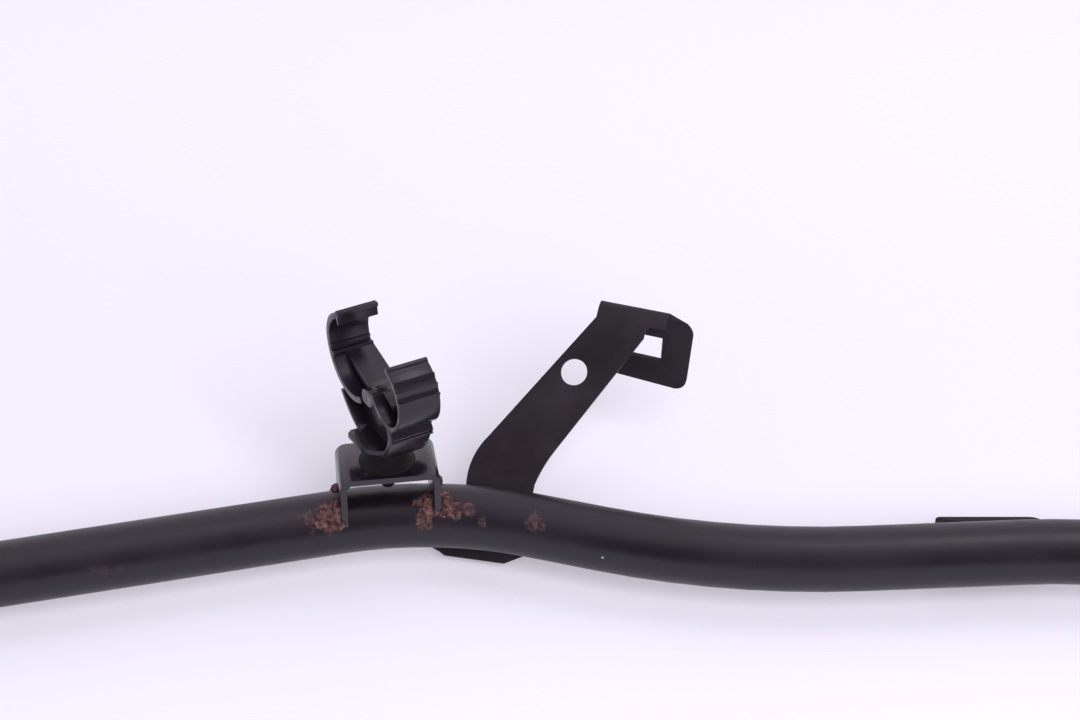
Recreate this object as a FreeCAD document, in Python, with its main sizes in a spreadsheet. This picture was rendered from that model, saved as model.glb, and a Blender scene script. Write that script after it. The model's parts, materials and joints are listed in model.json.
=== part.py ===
import FreeCAD, Part
import math
import os
import Sketcher

# Anti-roll bar with its bushes, saddles, drop links and the brackets welded to its middle.
# Frame in millimetres: X along the bar, Y towards the arms, Z up.
# The origin lies on the mounting face, midway between the two saddles.

V = FreeCAD.Vector
doc = FreeCAD.newDocument("sway_bar")

# ---------------------------------------------------------------- driving sizes
SIZES = (
    ("bar_dia", 20, "solid bar diameter"),
    ("axis_height", 20, "bar axis above the mounting face"),
    ("saddle_offset", 320, "each saddle from the middle of the bar"),
    ("arm_offset", 440, "each arm from the middle of the bar"),
    ("arm_length", 190, "eye centre from the saddle axis"),
    ("corner_radius", 50, "bend radius where the arms turn"),
    ("left_dip_x", 237.7, "bend beside the left saddle"),
    ("crest_x", 32.4, "crest bend from the middle"),
    ("crest_y", 52.3, "crest corner from the saddle axis"),
    ("waist_x", 57.8, "second bend from the middle"),
    ("waist_y", 23.9, "second bend from the saddle axis"),
    ("shoulder_x", 180, "third bend from the middle"),
    ("shoulder_y", 31.4, "third bend from the saddle axis"),
    ("right_dip_x", 266.2, "bend beside the right saddle"),
    ("crest_radius", 110, "bend radius at the crest and beside the saddles"),
    ("waist_radius", 220, "bend radius of the shallow bend"),
    ("shoulder_radius", 150, "bend radius of the third bend"),
    ("eye_radius", 20, "forged eye outer radius"),
    ("eye_thick", 8, "forged eye thickness"),
    ("eye_hole_radius", 5.1, "hole for the stud shank"),
    ("bush_width", 34, "rubber bush along the bar"),
    ("bush_radius", 20, "outer radius of the bush under the saddle"),
    ("bush_lip", 2.5, "height of the bush lips over the saddle seat"),
    ("bush_clearance", 0.1, "radial running fit on the bar"),
    ("saddle_width", 26, "saddle strap along the bar"),
    ("saddle_thick", 3, "saddle sheet"),
    ("saddle_bolt_y", 36, "bolt hole from the bar axis"),
    ("saddle_foot_y", 48, "foot end from the bar axis"),
    ("saddle_hole_radius", 5.25, "hole for an M10 bolt"),
    ("stop_radius", 14, "stop ring outer radius"),
    ("stop_width", 8, "stop ring along the bar"),
    ("stop_gap", 1, "stop ring to bush"),
    ("sheet_thick", 2, "sheet of the welded brackets"),
    ("clip_seat_x", 47.0, "clip bracket left of the middle"),
    ("clip_seat_y", 47.3, "bar axis under the clip bracket"),
    ("clip_seat_width", 30.8, "clip bracket along the bar"),
    ("clip_seat_depth", 19.8, "clip bracket across the bar"),
    ("clip_seat_top", 21.9, "clip bracket top above the bar axis"),
    ("clip_hole_radius", 3.4, "hole for the clip's anchor"),
    ("clip_depth", 13.3, "hose clip along the hose"),
    ("clip_turn", 28, "hose clip turned in its hole"),
    ("hinge_rise", 48.2, "lid hinge above the bar axis"),
    ("jaw_radius", 10.7, "fixed jaw outer radius"),
    ("jaw_wall", 1.3, "fixed jaw wall"),
    ("lid_radius", 15.6, "lid outer radius"),
    ("lid_wall", 2.0, "lid wall"),
    ("strap_lean", 40, "strap bracket leaning back from upright"),
    ("strap_hole_radius", 4.25, "hole through the strap bracket"),
    ("fold_turn", 140, "fold at the top of the strap bracket"),
    ("fold_radius", 4, "inside radius of the fold"),
    ("tab_thick", 3, "rear tab sheet"),
    ("tab_reach", 22.6, "rear tab end behind the bar axis"),
    ("tab_hole_radius", 3.3, "hole in the rear tab"),
    ("link_length", 110, "between the ball centres of a drop link"),
    ("link_offset", 28, "ball centres outboard of the eye"),
    ("ball_radius", 8, "stud ball"),
    ("neck_radius", 4.5, "stud neck"),
    ("shank_radius", 5, "stud thread over its crests, M10"),
    ("shank_length", 20, "stud thread beyond its collar"),
    ("housing_radius", 13, "ball housing outer radius"),
    ("rod_radius", 5, "drop link rod"),
    ("nut_flats", 17, "nut across its flats"),
    ("nut_height", 8, "nut height"),
)
sheet = doc.addObject("Spreadsheet::Sheet", "sizes")
for row, (name, value, note) in enumerate(SIZES, start=1):
    sheet.set("A%d" % row, name)
    sheet.set("B%d" % row, str(value))
    sheet.setAlias("B%d" % row, name)
    sheet.set("C%d" % row, note)
doc.recompute()

size = {name: float(sheet.get(name)) for name, value, note in SIZES}
nodes = []


# ---------------------------------------------------------------- shared helpers
def bind(thing, **formulas):
    """Drive properties of an object from the sheet."""
    for prop, formula in formulas.items():
        thing.setExpression(prop, formula)


def axes(x_axis, y_axis, origin):
    """Placement whose local X and Y run along the two given directions."""
    z_axis = x_axis.cross(y_axis)
    return FreeCAD.Placement(origin, FreeCAD.Rotation(x_axis, y_axis, z_axis, "XYZ"))


def join_ends(sketch, first):
    """Tie the ends that meet, so that the outline stays closed."""
    ends = []
    for index in range(first, sketch.GeometryCount):
        for end in (1, 2):
            ends.append((index, end, sketch.getPoint(index, end)))
    for i, (a, a_end, a_at) in enumerate(ends):
        for b, b_end, b_at in ends[i + 1:]:
            if a != b and (a_at - b_at).Length < 1e-5:
                sketch.addConstraint(Sketcher.Constraint("Coincident", a, a_end, b, b_end))


def draw(sketch, start, steps):
    """Draw an outline: a step is a point for a line, or two points for an arc through them."""
    first = sketch.GeometryCount
    here = V(start[0], start[1], 0)
    for step in steps:
        if isinstance(step[0], tuple):
            through = V(step[0][0], step[0][1], 0)
            there = V(step[1][0], step[1][1], 0)
            sketch.addGeometry(Part.Arc(here, through, there), False)
        else:
            there = V(step[0], step[1], 0)
            sketch.addGeometry(Part.LineSegment(here, there), False)
        here = there
    join_ends(sketch, first)


def new_body(label, placement):
    body = doc.addObject("PartDesign::Body", label)
    body.Label = label
    body.Placement = placement
    return body


def new_sketch(body, label):
    """Sketch on the body's own XY plane."""
    sketch = body.newObject("Sketcher::SketchObject", label)
    for feature in body.Origin.OriginFeatures:
        if feature.Role == "XY_Plane":
            sketch.AttachmentSupport = [(feature, "")]
    sketch.MapMode = "FlatFace"
    return sketch


def circle(sketch, x, y, formula, start):
    """Circle whose radius is driven from the sheet."""
    index = sketch.addGeometry(Part.Circle(V(x, y, 0), V(0, 0, 1), start), False)
    at = sketch.addConstraint(Sketcher.Constraint("Radius", index, start))
    sketch.addConstraint(Sketcher.Constraint("DistanceX", index, 3, x))
    sketch.addConstraint(Sketcher.Constraint("DistanceY", index, 3, y))
    sketch.setExpression("Constraints[%d]" % at, formula)


def pad(label, placement, outlines, length, circles=()):
    """Flat piece: outlines drawn on the local XY plane and padded along local Z."""
    body = new_body(label, placement)
    sketch = new_sketch(body, label + "_outline")
    for start, steps in outlines:
        draw(sketch, start, steps)
    for x, y, formula, start in circles:
        circle(sketch, x, y, formula, start)
    feature = body.newObject("PartDesign::Pad", label + "_pad")
    feature.Profile = sketch
    bind(feature, Length=length)
    return body


def turned(label, placement, start, steps):
    """Round piece: an outline above the local X axis, turned about it."""
    body = new_body(label, placement)
    sketch = new_sketch(body, label + "_outline")
    draw(sketch, start, steps)
    feature = body.newObject("PartDesign::Revolution", label + "_turn")
    feature.Profile = sketch
    feature.ReferenceAxis = (sketch, ["H_Axis"])
    feature.Angle = 360
    return body


def cylinder(label, placement, radius, height, angle="360"):
    piece = doc.addObject("Part::Cylinder", label)
    bind(piece, Radius=radius, Height=height, Angle=angle)
    piece.Placement = placement
    return piece


def ring_bead(label, placement, radius, bead, begin, end):
    """Part of a ring about local Z, for a weld bead."""
    piece = doc.addObject("Part::Torus", label)
    bind(piece, Radius1=radius)
    piece.Radius2 = bead
    piece.Angle3 = end - begin
    turn = FreeCAD.Placement(V(0, 0, 0), FreeCAD.Rotation(V(0, 0, 1), begin))
    piece.Placement = placement.multiply(turn)
    return piece


def ball(label, centre, radius):
    piece = doc.addObject("Part::Sphere", label)
    piece.Radius = radius
    piece.Placement = FreeCAD.Placement(centre, FreeCAD.Rotation())
    return piece


def weld_run(label, start, end, radius):
    """Short straight weld bead with round ends."""
    way = end - start
    body = doc.addObject("Part::Cylinder", label + "_run")
    body.Radius = radius
    body.Height = way.Length
    body.Placement = FreeCAD.Placement(start, FreeCAD.Rotation(V(0, 0, 1), way))
    return join(label, [body, ball(label + "_start", start, radius), ball(label + "_end", end, radius)])


def join(label, pieces):
    piece = doc.addObject("Part::MultiFuse", label)
    piece.Shapes = pieces
    piece.Label = label
    return piece


def remove(label, base, tool):
    piece = doc.addObject("Part::Cut", label)
    piece.Base = base
    piece.Tool = tool
    piece.Label = label
    return piece


def overlap(label, pieces):
    piece = doc.addObject("Part::MultiCommon", label)
    piece.Shapes = pieces
    piece.Label = label
    return piece


def keep(piece, label):
    """Give a finished piece its node name."""
    piece.Label = label
    nodes.append(piece)
    return piece


# ---------------------------------------------------------------- bar
# The middle is bowed towards the arms; all bends lie in one level plane.
axis_z = size["axis_height"]
bar_r = size["bar_dia"] / 2
arm_x = size["arm_offset"]
arm_end = size["arm_length"] - size["eye_radius"] - 28
corners = (
    (-arm_x, 0, "corner_radius"),
    (-size["left_dip_x"], 0, "crest_radius"),
    (-size["crest_x"], size["crest_y"], "crest_radius"),
    (size["waist_x"], size["waist_y"], "waist_radius"),
    (size["shoulder_x"], size["shoulder_y"], "shoulder_radius"),
    (size["right_dip_x"], 0, "crest_radius"),
    (arm_x, 0, "corner_radius"),
)
rod = new_body("bar_rod", FreeCAD.Placement(V(0, 0, axis_z), FreeCAD.Rotation()))
path = new_sketch(rod, "bar_path")
here = V(-arm_x, arm_end, 0)
points = [V(x, y, 0) for x, y, radius in corners] + [V(arm_x, arm_end, 0)]
before = here
arcs = []
for index, (x, y, radius) in enumerate(corners):
    corner = points[index]
    way_in = (corner - before).normalize()
    way_out = (points[index + 1] - corner).normalize()
    turn = math.atan2(way_in.cross(way_out).z, way_in.dot(way_out))
    run = size[radius] * math.tan(abs(turn) / 2)
    enter = corner - way_in * run
    leave = corner + way_out * run
    bulge = (way_out - way_in).normalize()
    centre = corner + bulge * (size[radius] / math.cos(turn / 2))
    middle = centre - bulge * size[radius]
    path.addGeometry(Part.LineSegment(here, enter), False)
    arcs.append((path.addGeometry(Part.Arc(enter, middle, leave), False), radius))
    here = leave
    before = corner
path.addGeometry(Part.LineSegment(here, points[-1]), False)
join_ends(path, 0)
for index, radius in arcs:
    at = path.addConstraint(Sketcher.Constraint("Radius", index, size[radius]))
    path.setExpression("Constraints[%d]" % at, "sizes." + radius)

section = rod.newObject("Sketcher::SketchObject", "bar_section")
for feature in rod.Origin.OriginFeatures:
    if feature.Role == "XZ_Plane":
        section.AttachmentSupport = [(feature, "")]
section.MapMode = "FlatFace"
section.AttachmentOffset = FreeCAD.Placement(V(-arm_x, 0, -arm_end), FreeCAD.Rotation())
circle(section, 0, 0, "sizes.bar_dia / 2", bar_r)
pipe = rod.newObject("PartDesign::AdditivePipe", "bar_pipe")
pipe.Profile = section
pipe.Spine = path

# Each arm is forged flat into an eye, flaring from the round bar.
half_eye = size["eye_thick"] / 2
eye_pieces = [rod]
eye_holes = []
for side, name in ((-1, "left"), (1, "right")):
    centre = V(side * arm_x, size["arm_length"], axis_z)
    along_y = FreeCAD.Rotation(V(1, 0, 0), -90)
    flare = doc.addObject("Part::Cone", name + "_flare")
    bind(flare, Radius1="sizes.bar_dia / 2", Radius2="sizes.eye_radius - 1", Height="40")
    flare.Placement = FreeCAD.Placement(V(side * arm_x, arm_end, axis_z), along_y)
    taper = pad(
        name + "_taper",
        FreeCAD.Placement(V(side * arm_x, arm_end, axis_z - 30), FreeCAD.Rotation()),
        [((-bar_r - 1, 0), [
            (-bar_r - 1, -0.01), (bar_r + 1, -0.01), (bar_r + 1, 0),
            ((bar_r * 0.62, 9), (half_eye, 24)),
            (half_eye, 40), (-half_eye, 40), (-half_eye, 24),
            ((-bar_r * 0.62, 9), (-bar_r - 1, 0)),
        ])],
        "60",
    )
    eye_pieces.append(overlap(name + "_neck", [flare, taper]))
    across = FreeCAD.Rotation(V(0, 1, 0), 90)
    eye_pieces.append(cylinder(
        name + "_eye",
        FreeCAD.Placement(centre - V(half_eye, 0, 0), across),
        "sizes.eye_radius", "sizes.eye_thick",
    ))
    eye_holes.append(cylinder(
        name + "_eye_hole",
        FreeCAD.Placement(centre - V(half_eye + 1, 0, 0), across),
        "sizes.eye_hole_radius", "sizes.eye_thick + 2",
    ))
bar_solid = join("bar_with_eyes", eye_pieces)
bar_holes = join("bar_eye_holes", eye_holes)
keep(remove("bar_cut", bar_solid, bar_holes), "stabiliser_bar")

# ---------------------------------------------------------------- stop rings
for side, name in ((-1, "left"), (1, "right")):
    inner = size["saddle_offset"] - size["bush_width"] / 2 - size["stop_gap"]
    near = side * inner if side < 0 else inner - size["stop_width"]
    ring = turned(
        name + "_stop_ring_blank",
        FreeCAD.Placement(V(near, 0, axis_z), FreeCAD.Rotation()),
        (0, bar_r), [
            (0, size["stop_radius"] - 0.8), (0.8, size["stop_radius"]),
            (size["stop_width"] - 0.8, size["stop_radius"]),
            (size["stop_width"], size["stop_radius"] - 0.8),
            (size["stop_width"], bar_r), (0, bar_r),
        ],
    )
    slot = doc.addObject("Part::Box", name + "_stop_slot")
    slot.Width = 2.2
    bind(slot, Length="sizes.stop_width + 2", Height="sizes.stop_radius + 1")
    slot.Placement = FreeCAD.Placement(V(near - 1, -1.1, axis_z), FreeCAD.Rotation())
    keep(remove(name + "_stop_cut", ring, slot), name + "_stop_ring")

# ---------------------------------------------------------------- bushes and saddles
sheet_r = size["bush_radius"] + size["saddle_thick"]
lip_r = size["bush_radius"] + size["bush_lip"]
foot = size["saddle_foot_y"]
for side, name in ((-1, "left"), (1, "right")):
    # local X runs along world Y, local Y runs up, local Z runs along world X
    def upright(start):
        return axes(V(0, 1, 0), V(0, 0, 1), V(side * size["saddle_offset"] + start, 0, 0))

    def arch(radius):
        return ((-radius, 0), [
            (-radius, axis_z), ((0, axis_z + radius), (radius, axis_z)), (radius, 0), (-radius, 0),
        ])

    core = pad(name + "_bush_core", upright(-size["bush_width"] / 2), [arch(size["bush_radius"])],
               "sizes.bush_width")
    lip_width = (size["bush_width"] - size["saddle_width"]) / 2
    lip_formula = "(sizes.bush_width - sizes.saddle_width) / 2"
    first_lip = pad(name + "_bush_lip_in", upright(-size["bush_width"] / 2), [arch(lip_r)],
                    lip_formula)
    last_lip = pad(name + "_bush_lip_out", upright(size["bush_width"] / 2 - lip_width),
                   [arch(lip_r)], lip_formula)
    blank = join(name + "_bush_blank", [core, first_lip, last_lip])
    bore = cylinder(
        name + "_bush_bore",
        FreeCAD.Placement(
            V(side * size["saddle_offset"] - size["bush_width"] / 2 - 1, 0, axis_z),
            FreeCAD.Rotation(V(0, 1, 0), 90),
        ),
        "sizes.bar_dia / 2 + sizes.bush_clearance", "sizes.bush_width + 2",
    )
    slit = doc.addObject("Part::Box", name + "_bush_slit")
    slit.Height = 0.8
    bind(slit, Length="sizes.bush_width + 2", Width="sizes.bush_radius + sizes.bush_lip + 1")
    slit.Placement = FreeCAD.Placement(
        V(side * size["saddle_offset"] - size["bush_width"] / 2 - 1,
          -size["bush_radius"] - size["bush_lip"] - 1, axis_z - 0.4),
        FreeCAD.Rotation(),
    )
    bush_tools = join(name + "_bush_tools", [bore, slit])
    keep(remove(name + "_bush_cut", blank, bush_tools), name + "_bush")

    # pressed strap: arch over the bush, feet out to the bolts, stiffening flutes at the corners
    thick = size["saddle_thick"]
    inner = size["bush_radius"]
    bend = thick + 1.5
    strap = pad(
        name + "_saddle_strap", upright(-size["saddle_width"] / 2),
        [((-foot, 0), [
            (-inner - bend + thick, 0), ((-inner - 0.44, 0.44), (-inner, bend - thick)),
            (-inner, axis_z), ((0, axis_z + inner), (inner, axis_z)),
            (inner, bend - thick), ((inner + 0.44, 0.44), (inner + bend - thick, 0)),
            (foot, 0), (foot, thick), (inner + thick + 2.5, thick),
            ((inner + thick + 0.73, thick + 0.73), (inner + thick, thick + 2.5)),
            (inner + thick, axis_z), ((0, axis_z + sheet_r), (-inner - thick, axis_z)),
            (-inner - thick, thick + 2.5),
            ((-inner - thick - 0.73, thick + 0.73), (-inner - thick - 2.5, thick)),
            (-foot, thick), (-foot, 0),
        ])],
        "sizes.saddle_width",
    )
    ribs = []
    for way, tag in ((-1, "front"), (1, "back")):
        ribs.append(pad(
            "%s_saddle_%s_rib" % (name, tag), upright(-2.5),
            [((way * (inner + thick - 0.5), thick - 0.5), [
                (way * (inner + thick + 6), thick - 0.5),
                ((way * (inner + thick + 2.2), thick + 2.2), (way * (inner + thick - 0.5), thick + 8)),
                (way * (inner + thick - 0.5), thick - 0.5),
            ])],
            "5",
        ))
    # seen from above the feet have rounded corners
    half = size["saddle_width"] / 2
    plan = pad(
        name + "_saddle_plan", FreeCAD.Placement(V(side * size["saddle_offset"], 0, -1), FreeCAD.Rotation()),
        [((-half, 8 - foot), [
            ((-half + 2.34, 2.34 - foot), (-half + 8, -foot)), (half - 8, -foot),
            ((half - 2.34, 2.34 - foot), (half, 8 - foot)), (half, foot - 8),
            ((half - 2.34, foot - 2.34), (half - 8, foot)), (-half + 8, foot),
            ((-half + 2.34, foot - 2.34), (-half, foot - 8)), (-half, 8 - foot),
        ])],
        "60",
    )
    trimmed = overlap(name + "_saddle_trim", [strap, plan])
    saddle = join(name + "_saddle_blank", [trimmed] + ribs)
    holes = []
    for way, tag in ((-1, "front"), (1, "back")):
        at = V(side * size["saddle_offset"], way * size["saddle_bolt_y"], -1)
        holes.append(cylinder(
            "%s_saddle_%s_hole" % (name, tag), FreeCAD.Placement(at, FreeCAD.Rotation()),
            "sizes.saddle_hole_radius", "sizes.saddle_thick + 2",
        ))
    saddle_tools = join(name + "_saddle_tools", holes)
    keep(remove(name + "_saddle_cut", saddle, saddle_tools), name + "_saddle")

# ---------------------------------------------------------------- clip bracket on the crest
# A pressed arch astride the bar, square to it; its legs are notched to sit on the bar.
seat_turn = math.radians(8.5)
seat_x = V(math.cos(seat_turn), math.sin(seat_turn), 0)
seat_y = V(-math.sin(seat_turn), math.cos(seat_turn), 0)
seat = V(-size["clip_seat_x"], size["clip_seat_y"], axis_z)
up = V(0, 0, 1)
half = size["clip_seat_width"] / 2
top = size["clip_seat_top"]
t = size["sheet_thick"]
rim = 3.6
soft = rim - t
k = math.sqrt(0.5)
arch_body = pad(
    "clip_arch", axes(seat_x, up, seat + seat_y * (size["clip_seat_depth"] / 2 + 0.5)),
    [((-half, 4.5), [
        (-half, top - rim),
        ((-half + rim * (1 - k), top - rim * (1 - k)), (-half + rim, top)),
        (half - rim, top),
        ((half - rim * (1 - k), top - rim * (1 - k)), (half, top - rim)),
        (half, 4.5), (half - t, 4.5), (half - t, top - rim),
        ((half - t - soft * (1 - k), top - t - soft * (1 - k)), (half - rim, top - t)),
        (-half + rim, top - t),
        ((-half + t + soft * (1 - k), top - t - soft * (1 - k)), (-half + t, top - rim)),
        (-half + t, 4.5), (-half, 4.5),
    ])],
    "sizes.clip_seat_depth",
)
anchor_hole = cylinder(
    "clip_anchor_hole",
    FreeCAD.Placement(seat + seat_y * 0.4 + up * (top - t - 1), FreeCAD.Rotation()),
    "sizes.clip_hole_radius", "sizes.sheet_thick + 2",
)
clip_tools = join("clip_bracket_tools", [anchor_hole, rod])
keep(remove("clip_bracket_cut", arch_body, clip_tools), "clip_bracket")

# Weld beads run round the bar on both faces of each leg, in short separate runs.
beads = []
for index, (x, bead, begin, end) in enumerate((
    (-half - 0.5, 1.9, 112, 160), (-half - 0.3, 1.6, 22, 60),
    (half + 0.5, 1.8, 114, 158), (half + 0.3, 1.6, 22, 62),
    (half - t - 0.4, 1.5, 118, 150), (-half + t + 0.4, 1.4, 30, 58),
)):
    spot = seat + seat_x * x
    # local X runs towards the arms, local Y runs up, so the angle is measured from behind
    beads.append(ring_bead(
        "clip_bead_%d" % (index + 1), axes(seat_y, up, spot), "sizes.bar_dia / 2", bead,
        begin, end,
    ))
bead_group = join("clip_bead_group", beads)
bead_cut = remove("clip_beads_cut", bead_group, rod)
keep(remove("clip_beads_trim", bead_cut, arch_body), "clip_bracket_welds")

# ---------------------------------------------------------------- hose clip
# Profile frame: local X across the hose, local Y up, local Z along the hose towards the front.
clip_turn = math.radians(size["clip_turn"])
hose_way = V(math.cos(clip_turn), math.sin(clip_turn), 0)
clip_x = V(math.sin(clip_turn), -math.cos(clip_turn), 0)
depth = size["clip_depth"]
hinge_mid = seat + seat_y * 0.4 + clip_x * 0.9 + up * size["hinge_rise"]
profile_back = hinge_mid + hose_way * (depth / 2)
clip_frame = axes(clip_x, up, profile_back)


def polar(centre, radius, degrees):
    angle = math.radians(degrees)
    return (centre[0] + radius * math.cos(angle), centre[1] + radius * math.sin(angle))


# Fixed jaw: a thin open ring with a beaded lip and three ratchet ridges outside it.
jaw = (size["jaw_radius"] + 3.1, 8.3)
jaw_out = size["jaw_radius"]
jaw_in = size["jaw_radius"] - size["jaw_wall"]
jaw_ring = pad("clip_jaw", clip_frame, [(polar(jaw, jaw_out, 208), [
    (polar(jaw, jaw_out, 300), polar(jaw, jaw_out, 74)),
    (polar(jaw, jaw_out + 0.7, 77), polar(jaw, jaw_in + 0.1, 80)),
    polar(jaw, jaw_in, 70),
    (polar(jaw, jaw_in, 300), polar(jaw, jaw_in, 208)),
    polar(jaw, jaw_out, 208),
])], "sizes.clip_depth")
clip_pieces = [jaw_ring]
for index, at in enumerate((17, 33, 49)):
    clip_pieces.append(pad("clip_ridge_%d" % (index + 1), clip_frame, [(polar(jaw, jaw_out - 0.3, at - 7), [
        polar(jaw, jaw_out - 0.3, at + 5), polar(jaw, jaw_out + 1.0, at + 3.6),
        polar(jaw, jaw_out - 0.3, at - 7),
    ])], "sizes.clip_depth"))

# Body under the jaw: a web set back from the front, the rear cradle wall and the front wall
# with its ledge, which run the whole depth.
foot_y = -16.9
lid_c = (-12.4, 8.2)
lid_out = size["lid_radius"]
lid_in = size["lid_radius"] - size["lid_wall"]
web = pad("clip_web", clip_frame, [(polar(lid_c, lid_out + 0.9, 247), [
    (polar(lid_c, lid_out + 0.9, 272), polar(lid_c, lid_out + 0.9, 302)),
    (-1.0, -2.4), (1.0, -1.2), polar(jaw, jaw_out - 0.6, 212),
    (polar(jaw, jaw_out - 0.6, 250), polar(jaw, jaw_out - 0.6, 295)),
    (16.0, -4.0), (15.4, -8.6), (12.6, -12.8), (9.2, foot_y), (-6.0, foot_y),
    (-11.6, -13.4), polar(lid_c, lid_out + 0.9, 247),
])], "sizes.clip_depth - 4.6")
front_wall = pad("clip_front_wall", clip_frame, [(polar(jaw, jaw_out - 0.6, 268), [
    (polar(jaw, jaw_out - 0.6, 286), polar(jaw, jaw_out - 0.6, 306)),
    (17.8, -2.7), (19.0, -4.3), (18.7, -6.2), (17.3, -6.5), (16.5, -8.6),
    (14.1, -12.8), (10.7, foot_y), (8.6, foot_y), (12.5, -12.4), (14.7, -8.4), (15.0, -5.2),
    polar(jaw, jaw_out - 0.6, 268),
])], "sizes.clip_depth")
ledge_groove = pad("clip_ledge_groove", axes(clip_x, up, profile_back + hose_way), [((19.5, -4.9), [
    (18.3, -4.75), (18.3, -5.35), (19.5, -5.4), (19.5, -4.9),
])], "sizes.clip_depth + 2")
cradle = pad("clip_cradle", clip_frame, [((-18.9, -8.7), [
    ((-13.4, -13.6), (-6.2, foot_y)), (-4.4, foot_y),
    ((-11.9, -12.9), (-17.4, -8.1)), (-18.9, -8.7),
])], "sizes.clip_depth")
tongue = pad("clip_tongue", clip_frame, [((1.6, 1.2), [
    (1.4, 2.7), ((7.4, 4.9), (13.6, 3.4)), (14.0, 2.5), ((8.0, 3.6), (4.4, 1.4)),
    (1.6, 1.2),
])], "sizes.clip_depth * 0.8")
clip_pieces += [web, front_wall, cradle, tongue]

# Flange, flared skirt and barbed anchor under the body.
stem = seat + seat_y * 0.4
flange_z = size["hinge_rise"] + foot_y - 1.2
flange = pad("clip_flange", axes(hose_way, clip_x * -1, stem + up * flange_z), [((-9.6, -3.4), [
    ((-6.9, -6.6), (-3.2, -8.0)), (-0.8, -7.6), (2.6, -5.2), (4.8, -7.4), (6.6, -7.6),
    (9.2, -6.5), (12.6, -4.2), (13.4, -1.2), (12.4, 5.0), (11, 6.6), (-8.8, 6.8), (-10.2, 5.6),
    (-9.6, -3.4),
])], "1.6")
skirt_low = top - t + t
skirt = turned("clip_skirt", axes(up, seat_x, stem), (flange_z + 0.2, 0), [
    (flange_z + 0.2, 4.6), (flange_z - 0.6, 5.0),
    ((skirt_low + 2.6, 6.6), (skirt_low + 0.05, 8.8)),
    (skirt_low + 0.05, 8.0), ((skirt_low + 2.0, 6.0), (flange_z - 1.4, 3.2)),
    (skirt_low + 0.05, 3.2), (skirt_low - t - 0.2, 3.2), (skirt_low - t - 0.2, 4.3),
    (skirt_low - t - 1.4, 4.3), (skirt_low - t - 6.4, 2.4), (skirt_low - t - 7.4, 1.8),
    (skirt_low - t - 7.4, 0),
    (flange_z + 0.2, 0),
])
clip_pieces += [flange, skirt]
ears = []
for tag, start, length in (("front", depth - 3.0, "3.0"), ("back", 0, "3.0")):
    shift = profile_back - hose_way * start
    ears.append(pad("clip_ear_" + tag, axes(clip_x, up, shift), [((-1.4, -2.6), [
        (2.6, -2.4), (5.9, 0.4), polar(jaw, jaw_in + 0.3, 207), (3.2, 2.9),
        ((2.2, 3.2), (0.4, 2.6)), ((-2.3, 0.8), (-1.4, -2.6)),
    ])], length))
blank_clip = join("clip_blank", clip_pieces + ears)
# room for the lid's knuckle between the ears, and the hinge pin hole
knuckle_room = pad("clip_knuckle_room", axes(clip_x, up, profile_back - hose_way * 3.0), [((-4.4, -5.4), [
    (-1.6, -4.2), (2.6, -3.2), ((3.3, 0), (2.4, 3.4)), (-4.4, 3.4), (-4.4, -5.4),
])], "sizes.clip_depth - 6")
pin_hole = pad("clip_pin_hole", axes(clip_x, up, profile_back + hose_way), [], "sizes.clip_depth + 2",
               [(0, 0, "1.3", 1.3)])
clip_cutters = join("clip_cutters", [knuckle_room, pin_hole, ledge_groove])
keep(remove("clip_body_cut", blank_clip, clip_cutters), "hose_clip_body")

# Lid: a curved band that lies open, with a hooked double-ridged tip, ribs and a spring leaf.
band = pad("lid_band", clip_frame, [(polar(lid_c, lid_out, 306), [
    (polar(lid_c, lid_out, 236), polar(lid_c, lid_out, 186)),
    ((-26.6, 12.4), (-22.2, 17.3)), (-20.6, 18.4), (-20.0, 19.2), (-19.3, 18.8), (-18.8, 19.5),
    (-18.0, 19.3), (-17.8, 18.3), (-18.6, 17.6), (-18.2, 15.0), (-18.8, 14.8), (-19.8, 16.7),
    (-21.2, 15.7), ((-24.4, 12.0), polar(lid_c, lid_in, 184)), polar(lid_c, lid_in, 196),
    (polar(lid_c, lid_in, 236), polar(lid_c, lid_in, 306)),
    polar(lid_c, lid_out, 306),
])], "sizes.clip_depth")
rib_a = pad("lid_rib_a", clip_frame, [(polar(lid_c, lid_in + 0.3, 197.6), [
    polar(lid_c, lid_in - 0.7, 198.4), polar(lid_c, lid_in - 0.7, 200.6),
    polar(lid_c, lid_in + 0.3, 201.4), polar(lid_c, lid_in + 0.3, 197.6),
])], "sizes.clip_depth")
rib_b = pad("lid_rib_b", clip_frame, [(polar(lid_c, lid_in + 0.3, 205), [
    polar(lid_c, lid_in - 1.8, 208), polar(lid_c, lid_in - 1.8, 212),
    polar(lid_c, lid_in + 0.3, 216), polar(lid_c, lid_in + 0.3, 205),
])], "sizes.clip_depth")
leaf = pad("lid_leaf", clip_frame, [(polar(lid_c, lid_in + 0.4, 214), [
    polar(lid_c, lid_in - 1.2, 210), (-7.4, -0.9), (-5.8, -2.0), (-5.2, -4.4), (-7.6, -4.4),
    polar(lid_c, lid_in + 0.4, 214),
])], "sizes.clip_depth * 0.68")
knuckle = pad("lid_knuckle", axes(clip_x, up, profile_back - hose_way * 3.3), [
    (polar((0, 0), 1.9, 110), [
        (polar((0, 0), 1.9, 30), polar((0, 0), 1.9, 300)),
        (-3.4, -4.5), (-7.4, -4.8), (-7.6, -2.8), (-2.8, -0.9),
        polar((0, 0), 1.9, 110),
    ]),
], "sizes.clip_depth - 6.6")
pin = pad("lid_pin", axes(clip_x, up, profile_back), [], "sizes.clip_depth", [(0, 0, "1.22", 1.22)])
keep(join("lid_blank", [band, rib_a, rib_b, leaf, knuckle, pin]), "clip_lid")

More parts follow.
